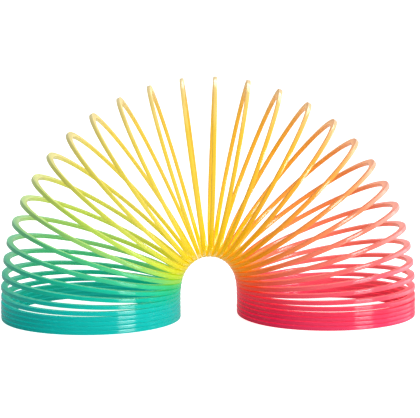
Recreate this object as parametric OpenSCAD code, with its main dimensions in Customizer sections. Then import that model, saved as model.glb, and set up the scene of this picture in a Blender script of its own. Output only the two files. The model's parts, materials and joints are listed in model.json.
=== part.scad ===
// A plastic spring coil toy that stands as an arch on two closed stacks of turns.
// One flat strip winds through the whole coil. It is divided at the inner side of the arch,
// where the turns nearly touch, so that each turn is a body that pivots on the next one.
// The origin is on the floor, midway between the two feet. +X runs from the left foot
// to the right foot, and +Z is up.

/* [Coil] */
// Outer diameter of the coil
coil_d = 75; // [60:1:90]
// Width of the strip, across the coil
strip_w = 2.8; // [2.2:0.1:3.6]
// Thickness of the strip, along the coil
strip_t = 1.6; // [1.2:0.1:2]
// Chamfer on the strip's long edges
edge_chamfer = 0.4; // [0.2:0.05:0.5]
// Gap between two closed turns
turn_gap = 0.06; // [0.04:0.02:0.3]
// Way that the strip winds
winding = "left"; // [right, left]

/* [Arch] */
// Turns on each side of the crown that fan open
open_turns = 15; // [12:0.5:18]
// Turns on each side that stay closed, in the foot
closed_turns = 3.5; // [3:0.5:8]
// How long the fan keeps its full opening angle on the way down from the crown
fan_power = 1.7; // [1.5:0.1:3]
// Where the strip is round the coil at the crown, in steps from the outer side
crown_step = 28; // [0:1:35]
// Part of a turn at each end of the strip that lies flat on the floor
flat_part = 0.6; // [0.4:0.1:0.7]
// Turns over which the coil recovers from lying flat
settle_turns = 4; // [2:1:8]

/* [Colours] */
// Colour of the left foot
left_foot_colour = [0.0, 0.73, 0.69];
// Colour of the left side of the fan
left_fan_colour = [0.35, 0.82, 0.4];
// Colour of the crown
crown_colour = [0.98, 0.8, 0.15];
// Colour of the right side of the fan
right_fan_colour = [0.99, 0.5, 0.33];
// Colour of the right foot
right_foot_colour = [0.98, 0.27, 0.42];

/* [Hidden] */
// Straight steps in one turn
STEPS = 36;
HALF_TURN = STEPS / 2;
coil_r = coil_d / 2;
pitch = strip_t + turn_gap;
hand = winding == "right" ? -1 : 1;
side_turns = open_turns + closed_turns;
last_step = 2 * side_turns * STEPS;

// The strip is divided each time it passes the inner side of the arch. An end piece
// shorter than half a turn stays joined to the whole turn beside it.
first_pass = (last_step / 2 + HALF_TURN - crown_step) % STEPS;
first_cut = first_pass < HALF_TURN ? first_pass + STEPS : first_pass;
CUTS = concat([0], [for (i = [first_cut : STEPS : last_step - HALF_TURN]) i], [last_step]);
turn_count = len(CUTS) - 1;
crown_turn = floor(turn_count / 2);

// The crown turn carries the others. They are numbered from it towards each foot.
function two_digits(n) = n < 10 ? str("0", n) : str(n);
function node_name(k) =
    k == crown_turn ? "crown_turn"
    : k < crown_turn ? str("left_turn_", two_digits(crown_turn - k))
    : str("right_turn_", two_digits(k - crown_turn));

// Distance from the crown at a step, in turns, and as a part of the open side
function turns_out(i) = i / STEPS - side_turns;
function fan_part(i) = min(1, abs(turns_out(i)) / open_turns);

// Direction of the coil's axis, in degrees from straight up: 0 in the left foot, 90 at the
// crown and 180 in the right foot. Each turn opens by an angle that falls off as
// 1 - part ^ fan_power, and this is the sum of those angles.
function axis_angle(i) =
    90 + 90 * sign(turns_out(i)) * (1 + 1 / fan_power)
    * (fan_part(i) - pow(fan_part(i), fan_power + 1) / (fan_power + 1));
function axis_way(i) = [sin(axis_angle(i)), 0, cos(axis_angle(i))];
function outer_way(i) = [-cos(axis_angle(i)), 0, sin(axis_angle(i))];

// Turns climbed at a number of turns from the strip's end. The first turn lies flat and then
// ramps up onto itself. Each turn that rests on it does the same a little less.
function ramp(f) = f * f * (3 - 2 * f) + (1 - flat_part) * f * f * (f - 1);
function held_back(f) = f < flat_part ? f : f - ramp((f - flat_part) / (1 - flat_part));
function settling(whole_turns) = max(0, 1 - whole_turns / settle_turns);
function climbed(turns) = turns - settling(floor(turns)) * held_back(turns % 1);
function advance(i) =
    i < last_step / 2 ? climbed(i / STEPS) : 2 * side_turns - climbed((last_step - i) / STEPS);

// Inner edge of the coil, on the inside of the arch, where neighbouring turns touch
function edge_step(i) = pitch * (advance(i + 1) - advance(i)) * axis_way(i + 0.5);
EDGE_SUM = [
    for (i = 0, at = [0, 0, 0]; i <= last_step; at = at + edge_step(i), i = i + 1) at
];
edge_shift = [-EDGE_SUM[last_step].x / 2, 0, strip_t / 2];
function coil_centre(i) = EDGE_SUM[i] + edge_shift + coil_r * outer_way(i);

// Direction from the coil's centre to the strip
function strip_angle(i) = 360 * (turns_out(i) + crown_step / STEPS);
function strip_way(i) =
    cos(strip_angle(i)) * outer_way(i) + [0, hand * sin(strip_angle(i)), 0];

// The strip's section: distance from the coil's centre, and height along its axis
half_t = strip_t / 2;
inner_r = coil_r - strip_w;
SECTION = [
    [coil_r - edge_chamfer, -half_t],
    [coil_r, edge_chamfer - half_t],
    [coil_r, half_t - edge_chamfer],
    [coil_r - edge_chamfer, half_t],
    [inner_r + edge_chamfer, half_t],
    [inner_r, half_t - edge_chamfer],
    [inner_r, edge_chamfer - half_t],
    [inner_r + edge_chamfer, -half_t]
];
SIDES = len(SECTION);
function section_at(i) =
    [for (p = SECTION) coil_centre(i) + p.x * strip_way(i) + p.y * axis_way(i)];

// The closed surface of the strip between two steps
function wall_faces(rings) = [
    for (r = [0 : rings - 2], s = [0 : SIDES - 1])
        let (
            a = r * SIDES + s,
            b = r * SIDES + (s + 1) % SIDES
        )
        each [[a, b, b + SIDES], [a, b + SIDES, a + SIDES]]
];
function end_faces(rings) = [
    [for (s = [SIDES - 1 : -1 : 0]) s],
    [for (s = [0 : SIDES - 1]) (rings - 1) * SIDES + s]
];
function turned_out(faces) =
    hand > 0 ? faces : [for (f = faces) [for (k = [len(f) - 1 : -1 : 0]) f[k]]];

module strip(from, to) {
    rings = to - from + 1;
    polyhedron(
        points = [for (i = [from : to]) each section_at(i)],
        faces = turned_out(concat(wall_faces(rings), end_faces(rings)))
    );
}

// Colour of a place along the coil, from 0 at the left end to 1 at the right end
STOPS = [
    left_foot_colour, left_fan_colour, crown_colour, right_fan_colour, right_foot_colour
];
function blended(place) =
    let (
        at = place * (len(STOPS) - 1),
        k = min(floor(at), len(STOPS) - 2)
    )
    STOPS[k] + (at - k) * (STOPS[k + 1] - STOPS[k]);

module turn(k) {
    color(blended((CUTS[k] + CUTS[k + 1]) / 2 / last_step)) strip(CUTS[k], CUTS[k + 1]);
}

for (k = [0 : turn_count - 1]) {
    turn(k);
}
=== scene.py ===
"""The looks of a plastic spring coil toy that stands as an arch, built round its CAD frame.

The CAD model divides the strip into turns, hinged at the inner side of the arch. Here the
strip is drawn smooth and in finer steps. Two kinds of piece make it up: the outer half of each
turn, which rides on the turn's body, and a bend at each hinge, which joins the inner halves
of two turns and turns smoothly from one body to the next.
"""

import json
import math

import bpy
import numpy as np
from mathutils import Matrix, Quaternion, Vector

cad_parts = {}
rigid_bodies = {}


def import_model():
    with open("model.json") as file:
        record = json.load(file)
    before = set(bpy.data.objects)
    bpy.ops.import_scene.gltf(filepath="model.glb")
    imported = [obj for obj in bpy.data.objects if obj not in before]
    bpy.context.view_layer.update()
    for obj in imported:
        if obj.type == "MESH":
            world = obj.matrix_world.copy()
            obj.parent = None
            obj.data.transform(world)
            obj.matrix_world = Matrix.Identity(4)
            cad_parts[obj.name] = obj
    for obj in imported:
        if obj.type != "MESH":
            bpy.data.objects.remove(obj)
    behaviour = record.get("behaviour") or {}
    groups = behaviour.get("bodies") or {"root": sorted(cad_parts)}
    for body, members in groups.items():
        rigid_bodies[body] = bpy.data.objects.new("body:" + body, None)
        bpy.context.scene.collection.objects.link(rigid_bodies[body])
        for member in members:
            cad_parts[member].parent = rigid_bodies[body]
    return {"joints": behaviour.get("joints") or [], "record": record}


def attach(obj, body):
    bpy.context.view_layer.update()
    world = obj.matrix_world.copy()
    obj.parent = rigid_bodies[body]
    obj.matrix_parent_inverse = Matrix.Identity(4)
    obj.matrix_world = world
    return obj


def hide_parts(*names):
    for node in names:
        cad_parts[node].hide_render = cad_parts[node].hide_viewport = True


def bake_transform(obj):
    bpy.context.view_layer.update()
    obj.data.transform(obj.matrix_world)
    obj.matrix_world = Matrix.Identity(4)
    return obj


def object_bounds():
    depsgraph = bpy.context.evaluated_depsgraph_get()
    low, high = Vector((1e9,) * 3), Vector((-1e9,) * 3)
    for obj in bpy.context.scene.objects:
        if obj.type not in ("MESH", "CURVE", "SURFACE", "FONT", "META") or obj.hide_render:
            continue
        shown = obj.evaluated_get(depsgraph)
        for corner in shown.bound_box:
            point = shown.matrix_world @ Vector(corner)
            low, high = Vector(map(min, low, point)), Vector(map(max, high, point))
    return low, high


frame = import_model()
CAD_LOW, CAD_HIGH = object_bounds()

# The coil, in metres, with the CAD model's driving sizes
COIL_R = (CAD_HIGH.y - CAD_LOW.y) / 2
STRIP_W = 0.0028
STRIP_T = 0.0016
TURN_GAP = 0.00006
OPEN_TURNS = 15
CLOSED_TURNS = 3.5
FAN_POWER = 1.7
CROWN_PLACE = 28 / 36  # turns from the outer side to the crown's middle, round the strip
FLAT_PART = 0.6
SETTLE_TURNS = 4
PITCH = STRIP_T + TURN_GAP
SIDE_TURNS = OPEN_TURNS + CLOSED_TURNS
ALL_TURNS = 2 * SIDE_TURNS

# How finely the strip is drawn
STEPS = 144  # rings in one turn
CORNER_R = 0.00008  # rounding of the strip's long edges
CORNER_POINTS = 4
SIDE_POINTS = 3  # points along each flat side, between the corners
CROWNING = 0.075  # how much narrower the section is at its faces than halfway between them
END_ROUND = 0.0005  # radius of the rounding at the strip's two ends
END_RINGS = 6
WAVER = 0.00007  # how far a turn strays inwards and outwards from a true circle
FOOT_CROWDING = 0.3  # crowding at the inner side of a closed foot, as a share of the crown's

# The camera, fitted to the picture's outline
CAMERA_DISTANCE = 0.955
CAMERA_RISE = math.radians(8.28)
CAMERA_SWING = math.radians(3.76)
CAMERA_ROLL = math.radians(-0.26)
CAMERA_LENS = 196.6
CAMERA_LOOKS_PAST = Vector((0, 0, 0.05))
CAMERA_AIM = Vector((0.0007, 0, 0.045))

# The painted glow: emission standing in for light that the plastic passes on, and the share of
# it in each place
GLOW = 0.8
OPEN_GLOW_SHARE = 0.28  # in an open turn
CROWDED_GLOW_SHARE = 0.85  # where the turns crowd together
GROOVE_GLOW_SHARE = 0.6  # what the grooves between closed turns add, as painted glow against their shade

# The studio
ROOM_LEFT_RIGHT = (0.22, 0.7)  # the room's light at its left and right ends
ROOM_BEHIND = 0.5  # what it adds behind the coil
ROOM_MIRRORED = 0.5  # the share of the room's light in reflections
FLOOR_DROP = 0.00005
FLOOR_SIZE = 6.0
FLOOR_GLOW = (0.25, 0.9)  # as a light, and as the camera sees it
PAPER_ROUGHNESS = 0.12
PAPERS = ((0.7, 0.5), (0.3, 1.0))  # whiteness and gloss, to the eye and in reflections

# The softboxes: azimuth, elevation, distance, width, height and power
SOFTBOXES = {
    "key_softbox": (44, 15, 2.0, 0.8, 0.84, 43),
    "side_softbox": (105, 15, 1.5, 1.4, 1.0, 10),
    "top_softbox": (-20, 78, 1.1, 0.9, 0.6, 4),
    "rear_softbox": (160, 40, 1.2, 0.8, 0.5, 5),
}


def linear(colour):
    """A display colour from 0 to 255 as scene-linear red, green, blue and alpha."""
    parts = [c / 255 for c in colour]
    return [p / 12.92 if p <= 0.04045 else ((p + 0.055) / 1.055) ** 2.4 for p in parts] + [1]


# ---------------------------------------------------------------- the coil's path


def axis_angle(out):
    """Direction of the coil's axis from straight up, at a number of turns from the crown."""
    part = np.minimum(1, np.abs(out) / OPEN_TURNS)
    opened = (1 + 1 / FAN_POWER) * (part - part ** (FAN_POWER + 1) / (FAN_POWER + 1))
    return math.pi / 2 * (1 + np.sign(out) * opened)


def axis_way(angle):
    return np.stack([np.sin(angle), 0 * angle, np.cos(angle)], -1)


def climbed(turns):
    """Turns climbed from the strip's end: flat on the floor first, then ramping up onto itself.

    Each turn that rests on the first does the same a little less.
    """
    whole = np.floor(turns + 0.01 / STEPS)
    part = np.maximum(0, turns - whole)
    f = np.clip((part - FLAT_PART) / (1 - FLAT_PART), 0, 1)
    held_back = part - f * f * (3 - 2 * f) - (1 - FLAT_PART) * f * f * (f - 1)
    return turns - np.maximum(0, 1 - whole / SETTLE_TURNS) * held_back


def advance(place):
    from_right = 2 * SIDE_TURNS - climbed(ALL_TURNS - place)
    return np.where(place < SIDE_TURNS, climbed(place), from_right)


PLACES = np.arange(int(ALL_TURNS * STEPS) + 1) / STEPS  # turns from the strip's left end


def inner_edge_path():
    """The coil's edge on the inside of the arch, where the turns hinge, at each place."""
    middles = (PLACES[1:] + PLACES[:-1]) / 2
    lengths = PITCH * np.diff(advance(PLACES))
    steps = lengths[:, None] * axis_way(axis_angle(middles - SIDE_TURNS))
    path = np.vstack([np.zeros(3), np.cumsum(steps, 0)])
    return path + np.array([-path[-1, 0] / 2, 0, STRIP_T / 2])


INNER_EDGE = inner_edge_path()


def edge_at(places):
    return np.stack([np.interp(places, PLACES, INNER_EDGE[:, c]) for c in range(3)], -1)


def coil_at(places):
    """The coil's centre, the way from it to the strip, and the coil's axis, at each place."""
    angle = axis_angle(places - SIDE_TURNS)
    outer = np.stack([-np.cos(angle), 0 * angle, np.sin(angle)], -1)
    round_angle = 2 * math.pi * (places - SIDE_TURNS + CROWN_PLACE)
    across = np.stack([0 * angle, np.sin(round_angle), 0 * angle], -1)
    way = np.cos(round_angle)[:, None] * outer + across
    return edge_at(places) + COIL_R * outer, way, axis_way(angle)


def fan_place(places):
    """How far a turn is open, from 1 at the crown to 0 in the feet, and its side of the coil.

    The side goes from 1 on the outside of the arch to -1 on the inside.
    """
    out = places - SIDE_TURNS
    opened = 1 - np.minimum(1, np.abs(out) / OPEN_TURNS) ** FAN_POWER
    return opened, np.cos(2 * math.pi * (out + CROWN_PLACE))


def crowding(places):
    """How much the turns crowd together, from 0 to 1: most on the inner side of the open fan."""
    opened, side = fan_place(places)
    return (FOOT_CROWDING + (1 - FOOT_CROWDING) * opened**0.5) * np.maximum(0, -side) ** 2


def exposure(places):
    """How freely a turn stands out, from 0 to 1: most at the outer side of the open fan."""
    opened, side = fan_place(places)
    return opened**0.5 * np.maximum(0, side) ** 4


def stacking(places):
    """How closely the turns lie on each other, from 0 in the open fan to 1 in the feet."""
    opened, _ = fan_place(places)
    return (1 - opened) ** 2


def waver(places):
    """A slow, small wandering of the strip in and out, as a flexible coil has."""
    waves = [(1.83, 0.4), (0.71, 1.9), (2.57, 4.1)]
    return sum(np.sin(2 * math.pi * f * places + start) for f, start in waves) * WAVER / 3


HALF = np.array([STRIP_W, STRIP_T]) / 2


def section():
    """The strip's section: points across and along the coil from its middle, with normals.

    It is a rectangle with round corners, whose two ends across the coil bulge a little.
    """
    points, normals = [], []
    for quarter, (x, y) in enumerate(((1, 1), (-1, 1), (-1, -1), (1, -1))):
        corner = np.array([x, y]) * (HALF - CORNER_R)
        for k in range(CORNER_POINTS):
            angle = math.pi / 2 * (quarter + k / (CORNER_POINTS - 1))
            way = np.array([math.cos(angle), math.sin(angle)])
            points.append(corner + CORNER_R * way)
            normals.append(way)
        along_side = np.array([-way[1], way[0]])
        side = 2 * (HALF - CORNER_R)[0 if quarter % 2 == 0 else 1]
        for k in range(SIDE_POINTS):
            points.append(points[-1 - k] + along_side * side * (k + 1) / (SIDE_POINTS + 1))
            normals.append(way)
    points, normals = np.array(points), np.array(normals)
    height = points[:, 1] / HALF[1]
    narrowed = 1 - CROWNING * height**2
    lean = 2 * CROWNING * height / HALF[1] * points[:, 0] * normals[:, 0] / narrowed
    normals = np.stack([normals[:, 0] / narrowed, normals[:, 1] + lean], -1)
    points[:, 0] *= narrowed
    return points / HALF, normals / np.linalg.norm(normals, axis=1)[:, None]


UNIT, SECTION_NORMALS = section()


def tangent_at(places):
    """Unit direction of the strip at each place, towards its right end."""
    nudge = 0.5 / STEPS
    low = np.clip(places - nudge, 0, ALL_TURNS)
    high = np.clip(places + nudge, 0, ALL_TURNS)
    centre_l, way_l, _ = coil_at(low)
    centre_h, way_h, _ = coil_at(high)
    step = centre_h + COIL_R * way_h - centre_l - COIL_R * way_l
    return step / np.linalg.norm(step, axis=1)[:, None]


# ---------------------------------------------------------------- the strip's pieces


def rounded_end(at, inwards):
    """Rings of a rounded strip end: their places, insets, and the share that each faces out."""
    turn = math.pi / 2 * np.arange(END_RINGS + 1) / END_RINGS
    in_turns = END_ROUND * (1 - np.sin(turn)) / (2 * math.pi * COIL_R)
    return at + inwards * in_turns, END_ROUND * (1 - np.cos(turn)), np.sin(turn)


def strip_mesh(name, start, end):
    """A closed length of strip from ring to ring. The strip's own two ends are rounded."""
    places = PLACES[start : end + 1]
    insets, facing = 0 * places, 0 * places
    if start == 0:
        p, inset, out = rounded_end(0, 1)
        places = np.concatenate([p[::-1], places[1:]])
        insets = np.concatenate([inset[::-1], insets[1:]])
        facing = np.concatenate([-out[::-1], facing[1:]])
    if end == len(PLACES) - 1:
        p, inset, out = rounded_end(ALL_TURNS, -1)
        places = np.concatenate([places[:-1], p])
        insets = np.concatenate([insets[:-1], inset])
        facing = np.concatenate([facing[:-1], out])

    centre, way, axis = coil_at(places)
    tangent = tangent_at(places)
    sizes = (HALF - insets[:, None])[:, None, :] * UNIT[None, :, :]
    middle = COIL_R - STRIP_W / 2 + waver(places)
    radial = middle[:, None] + sizes[:, :, 0]
    points = (
        centre[:, None, :]
        + radial[:, :, None] * way[:, None, :]
        + sizes[:, :, 1, None] * axis[:, None, :]
    )
    flat = (
        SECTION_NORMALS[None, :, 0, None] * way[:, None, :]
        + SECTION_NORMALS[None, :, 1, None] * axis[:, None, :]
    )
    along = tangent[:, None, :]
    flat = flat - (flat * along).sum(-1, keepdims=True) * along
    flat = flat / np.linalg.norm(flat, axis=-1, keepdims=True)
    out = facing[:, None, None]
    normals = np.sqrt(1 - out**2) * flat + out * along

    rings, sides = points.shape[:2]
    faces = [
        (
            r * sides + s,
            r * sides + (s + 1) % sides,
            (r + 1) * sides + (s + 1) % sides,
            (r + 1) * sides + s,
        )
        for r in range(rings - 1)
        for s in range(sides)
    ]
    first = tuple(range(sides))[::-1]
    last = tuple(range((rings - 1) * sides, rings * sides))
    mesh = bpy.data.meshes.new(name)
    mesh.from_pydata(points.reshape(-1, 3).tolist(), [], faces + [first, last])
    turned_in = (mesh.polygons[0].normal @ Vector(normals[0, 0])) < 0
    if turned_in:
        mesh.flip_normals()
    mesh.polygons.foreach_set("use_smooth", [True] * len(mesh.polygons))
    mesh.normals_split_custom_set_from_vertices(normals.reshape(-1, 3).tolist())

    length = 2 * math.pi * COIL_R * places
    coords = np.concatenate([np.repeat(length[:, None, None], sides, 1), sizes], -1)
    strip = mesh.attributes.new("strip_coord", "FLOAT_VECTOR", "POINT")
    strip.data.foreach_set("vector", coords.astype(np.float32).ravel())
    place = mesh.attributes.new("coil_place", "FLOAT", "POINT")
    shares = np.repeat(places / ALL_TURNS, sides)
    place.data.foreach_set("value", shares.astype(np.float32))
    measures = {"crowding": crowding, "exposure": exposure, "stacking": stacking}
    for kind, measure in measures.items():
        values = mesh.attributes.new(kind, "FLOAT", "POINT")
        values.data.foreach_set("value", np.repeat(measure(places), sides).astype(np.float32))
    return mesh


def add_piece(name, start, end, material):
    piece = bpy.data.objects.new(name, strip_mesh(name, start, end))
    bpy.context.scene.collection.objects.link(piece)
    piece.data.materials.append(material)
    return piece


def build_coil(material):
    """Every turn's outer half, riding on its body, and every bend between two turns."""
    joints = frame["joints"]
    chain = [joints[0]["parent"]] + [j["child"] for j in joints]
    bodies = frame["record"]["behaviour"]["bodies"]

    # The strip passes the inner side of the arch at each hinge
    first_hinge = (SIDE_TURNS + 0.5 - CROWN_PLACE) % 1
    if first_hinge < 0.5:
        first_hinge = first_hinge + 1
    hinges = [round((first_hinge + k) * STEPS) for k in range(len(joints))]
    quarter = STEPS // 4

    for k, body in enumerate(chain):
        node = bodies[body][0]
        start = hinges[k - 1] + quarter if k else 0
        end = hinges[k] - quarter if k < len(joints) else len(PLACES) - 1
        arc = add_piece(f"{node}_outer", start, end, material)
        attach(arc, body)
        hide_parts(node)

    for k, joint in enumerate(joints):
        pivot = Vector(joint["pos_m"])
        stray = (pivot - Vector(INNER_EDGE[hinges[k]])).length
        assert stray < TURN_GAP, f"{joint['name']} is {stray * 1000:.3f} mm off the strip's path"
        bend = add_piece(
            f"{joint['name']}_strip", hinges[k] - quarter, hinges[k] + quarter, material
        )
        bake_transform(bend)


# ---------------------------------------------------------------- materials

# Colours along the coil, from the end of the left foot to the end of the right one
COLOUR_STOPS = [
    (0.00, (0, 148, 141)),
    (0.12, (0, 151, 143)),
    (0.20, (4, 152, 124)),
    (0.26, (64, 162, 106)),
    (0.31, (156, 180, 70)),
    (0.36, (184, 174, 68)),
    (0.42, (198, 174, 66)),
    (0.50, (200, 164, 48)),
    (0.58, (200, 144, 34)),
    (0.65, (200, 122, 46)),
    (0.71, (200, 102, 80)),
    (0.80, (198, 74, 86)),
    (0.90, (192, 48, 72)),
    (1.00, (188, 50, 82)),
]


class Nodes:
    """Short calls for adding and joining the nodes of one material."""

    def __init__(self, material):
        material.use_nodes = True
        self.tree = material.node_tree
        self.tree.nodes.clear()

    def add(self, kind, **settings):
        node = self.tree.nodes.new(kind)
        for key, value in settings.items():
            setattr(node, key, value)
        return node

    def put(self, source, target):
        self.tree.links.new(source, target)

    def attribute(self, name, output):
        return self.add("ShaderNodeAttribute", attribute_name=name).outputs[output]

    def grain(self, vector, cycles, detail):
        """Noise with its own number of cycles per metre in each direction."""
        scaled = self.add("ShaderNodeVectorMath", operation="MULTIPLY")
        self.put(vector, scaled.inputs[0])
        scaled.inputs[1].default_value = cycles
        node = self.add("ShaderNodeTexNoise")
        self.put(scaled.outputs["Vector"], node.inputs["Vector"])
        node.inputs["Scale"].default_value = 1.0
        node.inputs["Detail"].default_value = detail
        return node.outputs["Fac"]

    def spread(self, value, from_low, from_high, to_low, to_high):
        node = self.add("ShaderNodeMapRange")
        self.put(value, node.inputs["Value"])
        settings = (from_low, from_high, to_low, to_high)
        for name, v in zip(("From Min", "From Max", "To Min", "To Max"), settings):
            node.inputs[name].default_value = v
        return node.outputs["Result"]

    def maths(self, operation, a, b):
        node = self.add("ShaderNodeMath", operation=operation)
        for socket, v in zip(node.inputs, (a, b)):
            if isinstance(v, (int, float)):
                socket.default_value = v
            else:
                self.put(v, socket)
        return node.outputs["Value"]

    def tint(self, colour, saturation=1.0, value=1.0):
        node = self.add("ShaderNodeHueSaturation")
        self.put(colour, node.inputs["Color"])
        for name, v in (("Saturation", saturation), ("Value", value)):
            if isinstance(v, (int, float)):
                node.inputs[name].default_value = v
            else:
                self.put(v, node.inputs[name])
        return node.outputs["Color"]

    def mix(self, share, a, b):
        node = self.add("ShaderNodeMix", data_type="RGBA")
        colours = [s for s in node.inputs if s.type == "RGBA"]
        self.put(share, node.inputs["Factor"])
        self.put(a, colours[0])
        self.put(b, colours[1])
        return next(s for s in node.outputs if s.type == "RGBA")


# The plastic's noises: cycles per metre along, across and through the strip, and detail
DRIFT = ((20, 120, 120), 3.0)
STREAKS = ((45, 900, 900), 4.0)
SCUFFS = ((260, 1800, 1800), 5.0)
PATCHES = ((90, 500, 500), 3.0)
SWELL = ((150, 260, 260), 1.0)
SCRATCHES = ((120, 9000, 9000), 2.0)

# How strongly they show, and how strongly the painted light that follows the coil's form shows
COLOUR_DRIFT = 0.006  # along the coil, as a share of its length
INNER_BOUNCE_SHARE = 0.6  # the share of the painted bounce light, a brighter tint, on the face towards the coil's axis
# painted bounce light: the face towards the coil's axis made brighter
INNER_BOUNCE_TINT = {"saturation": 0.97, "value": 1.3}
BOUNCE_HUE_FROM_CROWN = (0.22, 0.2)  # how far the painted bounce light on the inner face and on the crowded side takes the crown's hue
STREAK_VALUES = (0.95, 1.05)
# painted bounce light: the crowded inner side made more saturated
CROWDED_BOUNCE_SATURATION = 1.12
# painted paleness: the free outer side made less saturated and lighter, as if washed by the
# white room's light
PAINTED_PALE_SATURATION = 0.7
PAINTED_PALE_VALUE = 1.1
GLOW_SATURATION = (1.05, 1.25)  # of the painted glow, in an open and in a crowded turn
EDGE_START = 0.8  # where the strip's edge begins, as a share of its half thickness
SCUFFED = 0.15
SCUFF_TINT = {"saturation": 0.78, "value": 1.12}
GLOSS = 0.3
ROUGHNESS = (0.08, 0.15)
EDGE_ROUGHNESS = 0.4
SWELL_HEIGHT = 0.00006
SCRATCH_DEPTH = 0.0000008
BUMP = 0.6


def coil_colour_with_painted_light(n, strip, height_across, crowded):
    """The colour at each place along the coil, with drift, streaks and painted light.

    It wanders a little, so that no turn is one even tint. Painted bounce light brightens the
    face towards the coil's axis, saturates the crowded inner side, and shifts both towards the
    hue of the turns nearer to the crown. The free outer side is painted lighter and less
    saturated, as if washed by the room's light.
    side is paler.
    """
    place = n.attribute("coil_place", "Fac")
    # Painted bounce light: the face towards the coil's axis and the crowded side take the
    # crown's hue
    inner_bounce = n.spread(height_across, STRIP_W / 2, -STRIP_W / 2, 0.0, INNER_BOUNCE_SHARE)
    face_bounce = n.maths("MULTIPLY", inner_bounce, BOUNCE_HUE_FROM_CROWN[0])
    crowd_bounce = n.maths("MULTIPLY", crowded, BOUNCE_HUE_FROM_CROWN[1])
    bounce_hue_share = n.maths("ADD", face_bounce, crowd_bounce)
    bounce_hue_shift = n.maths("MULTIPLY", n.maths("SUBTRACT", 0.5, place), bounce_hue_share)
    drift = n.spread(n.grain(strip, *DRIFT), 0.3, 0.7, -COLOUR_DRIFT, COLOUR_DRIFT)
    ramp = n.add("ShaderNodeValToRGB")
    n.put(n.maths("ADD", n.maths("ADD", place, drift), bounce_hue_shift), ramp.inputs["Fac"])
    stops = ramp.color_ramp.elements
    while len(stops) < len(COLOUR_STOPS):
        stops.new(0.5)
    for stop, (position, colour) in zip(stops, COLOUR_STOPS):
        stop.position = position
        stop.color = linear(colour)

    streaks = n.spread(n.grain(strip, *STREAKS), 0.25, 0.75, *STREAK_VALUES)
    base = n.tint(ramp.outputs["Color"], value=streaks)
    # Painted bounce light: a brighter tint on the face towards the coil's axis, more saturation
    # on the crowded side
    base = n.mix(inner_bounce, base, n.tint(base, **INNER_BOUNCE_TINT))
    base = n.tint(base, saturation=n.spread(crowded, 0, 1, 1.0, CROWDED_BOUNCE_SATURATION))
    # Painted paleness on the free outer side
    exposed = n.attribute("exposure", "Fac")
    painted_pale = n.spread(exposed, 0, 1, 1.0, PAINTED_PALE_SATURATION)
    return n.tint(base, saturation=painted_pale, value=n.spread(exposed, 0, 1, 1.0, PAINTED_PALE_VALUE))


def painted_glow(n, base, crowded, near_edge):
    """A painted glow, emission standing in for light that comes through the plastic: more where
    the turns crowd, and in the grooves, against their shade.
    """
    share = n.spread(crowded, 0, 1, OPEN_GLOW_SHARE, CROWDED_GLOW_SHARE)
    grooves = n.maths("MULTIPLY", near_edge, n.attribute("stacking", "Fac"))
    share = n.maths("ADD", share, n.maths("MULTIPLY", grooves, GROOVE_GLOW_SHARE))
    return n.tint(base, saturation=n.spread(crowded, 0, 1, *GLOW_SATURATION), value=share)


def fine_relief(n, strip):
    """A slow swell of the surface, and fine scratches along the strip."""
    swell = n.maths("MULTIPLY", n.grain(strip, *SWELL), SWELL_HEIGHT)
    scratches = n.maths("MULTIPLY", n.grain(strip, *SCRATCHES), SCRATCH_DEPTH)
    bump = n.add("ShaderNodeBump")
    bump.inputs["Distance"].default_value = 1.0
    bump.inputs["Strength"].default_value = BUMP
    n.put(n.maths("ADD", swell, scratches), bump.inputs["Height"])
    return bump.outputs["Normal"]


def moulded_plastic():
    """Glossy coloured plastic: the hue changes along the coil, and the pigment runs in streaks.

    Every pattern follows the strip, in metres along it and across its section.
    """
    material = bpy.data.materials.new("moulded_plastic")
    n = Nodes(material)
    strip = n.attribute("strip_coord", "Vector")
    crowded = n.attribute("crowding", "Fac")
    section_place = n.add("ShaderNodeSeparateXYZ")
    n.put(strip, section_place.inputs[0])
    base = coil_colour_with_painted_light(n, strip, section_place.outputs["Y"], crowded)

    # Pale rubbing, and less gloss, where the turns' edges slide on each other
    off_middle = n.maths("ABSOLUTE", section_place.outputs["Z"], 0)
    near_edge = n.spread(off_middle, EDGE_START * HALF[1], HALF[1], 0.0, 1.0)
    scuffs = n.spread(n.grain(strip, *SCUFFS), 0.5, 0.72, 0.0, SCUFFED)
    base = n.mix(n.maths("MULTIPLY", near_edge, scuffs), base, n.tint(base, **SCUFF_TINT))
    patches = n.spread(n.grain(strip, *PATCHES), 0.3, 0.7, *ROUGHNESS)
    roughness = n.maths("ADD", patches, n.maths("MULTIPLY", near_edge, EDGE_ROUGHNESS))

    shader = n.add("ShaderNodeBsdfPrincipled")
    shader.inputs["Specular IOR Level"].default_value = GLOSS
    # Painted glow: emission standing in for light passing through the plastic
    shader.inputs["Emission Strength"].default_value = GLOW
    n.put(base, shader.inputs["Base Color"])
    n.put(painted_glow(n, base, crowded, near_edge), shader.inputs["Emission Color"])
    n.put(roughness, shader.inputs["Roughness"])
    n.put(fine_relief(n, strip), shader.inputs["Normal"])
    output = n.add("ShaderNodeOutputMaterial")
    n.put(shader.outputs["BSDF"], output.inputs["Surface"])
    return material


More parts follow.
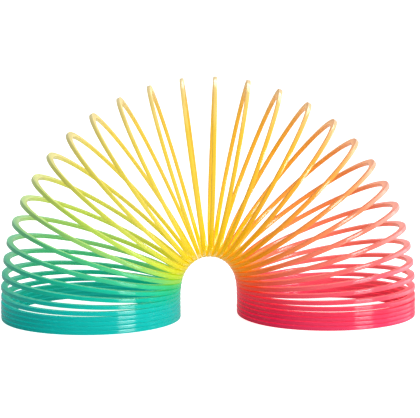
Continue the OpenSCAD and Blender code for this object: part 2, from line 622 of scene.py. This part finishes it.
def paper_floor():
    """White glossy paper that glows as a light table does.

    It is seen brighter than it lights, and mirrored darker, so that the plastic stays saturated.
    """
    material = bpy.data.materials.new("paper_floor")
    n = Nodes(material)
    papers = []
    for white, gloss in PAPERS:
        paper = n.add("ShaderNodeBsdfPrincipled")
        paper.inputs["Base Color"].default_value = (white, white, white, 1)
        paper.inputs["Roughness"].default_value = PAPER_ROUGHNESS
        paper.inputs["Specular IOR Level"].default_value = gloss
        papers.append(paper)
    rays = n.add("ShaderNodeLightPath")
    glow = n.add("ShaderNodeEmission")
    n.put(n.spread(rays.outputs["Is Camera Ray"], 0, 1, *FLOOR_GLOW), glow.inputs["Strength"])
    both = n.add("ShaderNodeAddShader")
    n.put(papers[0].outputs[0], both.inputs[0])
    n.put(glow.outputs[0], both.inputs[1])
    pick = n.add("ShaderNodeMixShader")
    n.put(rays.outputs["Is Glossy Ray"], pick.inputs["Fac"])
    n.put(both.outputs[0], pick.inputs[1])
    n.put(papers[1].outputs[0], pick.inputs[2])
    n.put(pick.outputs[0], n.add("ShaderNodeOutputMaterial").inputs["Surface"])
    return material


# ---------------------------------------------------------------- stage, light and camera


def add_floor():
    half = FLOOR_SIZE / 2
    z = CAD_LOW.z - FLOOR_DROP
    mesh = bpy.data.meshes.new("floor")
    corners = [(-half, -half, z), (half, -half, z), (half, half, z), (-half, half, z)]
    mesh.from_pydata(corners, [], [(0, 1, 2, 3)])
    floor = bpy.data.objects.new("floor", mesh)
    bpy.context.scene.collection.objects.link(floor)
    mesh.materials.append(paper_floor())


def add_softbox(name, azimuth, elevation, distance, width, height, power):
    """A rectangular light that faces the middle of the arch. Azimuth 0 is at the front."""
    a, e = math.radians(azimuth), math.radians(elevation)
    way = Vector((math.sin(a) * math.cos(e), -math.cos(a) * math.cos(e), math.sin(e)))
    lamp = bpy.data.lights.new(name, "AREA")
    lamp.shape = "RECTANGLE"
    lamp.size = width
    lamp.size_y = height
    lamp.energy = power
    box = bpy.data.objects.new(name, lamp)
    box.location = Vector((0, 0, CAD_HIGH.z / 2)) + way * distance
    box.rotation_mode = "QUATERNION"
    box.rotation_quaternion = way.to_track_quat("Z", "Y")
    bpy.context.scene.collection.objects.link(box)


def add_world():
    """A white room, lit more from the right and from behind. It shows as plain white."""
    world = bpy.data.worlds.new("studio")
    n = Nodes(world)
    ways = n.add("ShaderNodeSeparateXYZ")
    n.put(n.add("ShaderNodeTexCoord").outputs["Generated"], ways.inputs[0])
    room = n.add("ShaderNodeBackground")
    sides = n.spread(ways.outputs["X"], -0.9, 0.9, *ROOM_LEFT_RIGHT)
    behind = n.spread(ways.outputs["Y"], 0.2, 0.9, 0.0, ROOM_BEHIND)
    rays = n.add("ShaderNodeLightPath")
    dimmed = n.spread(rays.outputs["Is Glossy Ray"], 0, 1, 1.0, ROOM_MIRRORED)
    n.put(n.maths("MULTIPLY", n.maths("ADD", sides, behind), dimmed), room.inputs["Strength"])
    plain = n.add("ShaderNodeBackground")
    for background in (room, plain):
        background.inputs["Color"].default_value = (1, 1, 1, 1)
    pick = n.add("ShaderNodeMixShader")
    n.put(rays.outputs["Is Camera Ray"], pick.inputs["Fac"])
    n.put(room.outputs[0], pick.inputs[1])
    n.put(plain.outputs[0], pick.inputs[2])
    n.put(pick.outputs[0], n.add("ShaderNodeOutputWorld").inputs["Surface"])
    bpy.context.scene.world = world
    bpy.context.scene.view_settings.view_transform = "Standard"


def add_light():
    add_world()
    for name, settings in SOFTBOXES.items():
        add_softbox(name, *settings)


def add_camera():
    data = bpy.data.cameras.new("camera")
    data.lens = CAMERA_LENS
    camera = bpy.data.objects.new("camera", data)
    level = math.cos(CAMERA_RISE)
    ahead = Vector(
        (math.sin(CAMERA_SWING) * level, math.cos(CAMERA_SWING) * level, -math.sin(CAMERA_RISE))
    )
    camera.location = CAMERA_LOOKS_PAST - CAMERA_DISTANCE * ahead
    camera.rotation_mode = "QUATERNION"
    aim = (CAMERA_AIM - camera.location).to_track_quat("-Z", "Y")
    camera.rotation_quaternion = aim @ Quaternion((0, 0, 1), CAMERA_ROLL)
    bpy.context.scene.collection.objects.link(camera)
    bpy.context.scene.camera = camera


add_camera()
add_light()
add_floor()
build_coil(moulded_plastic())
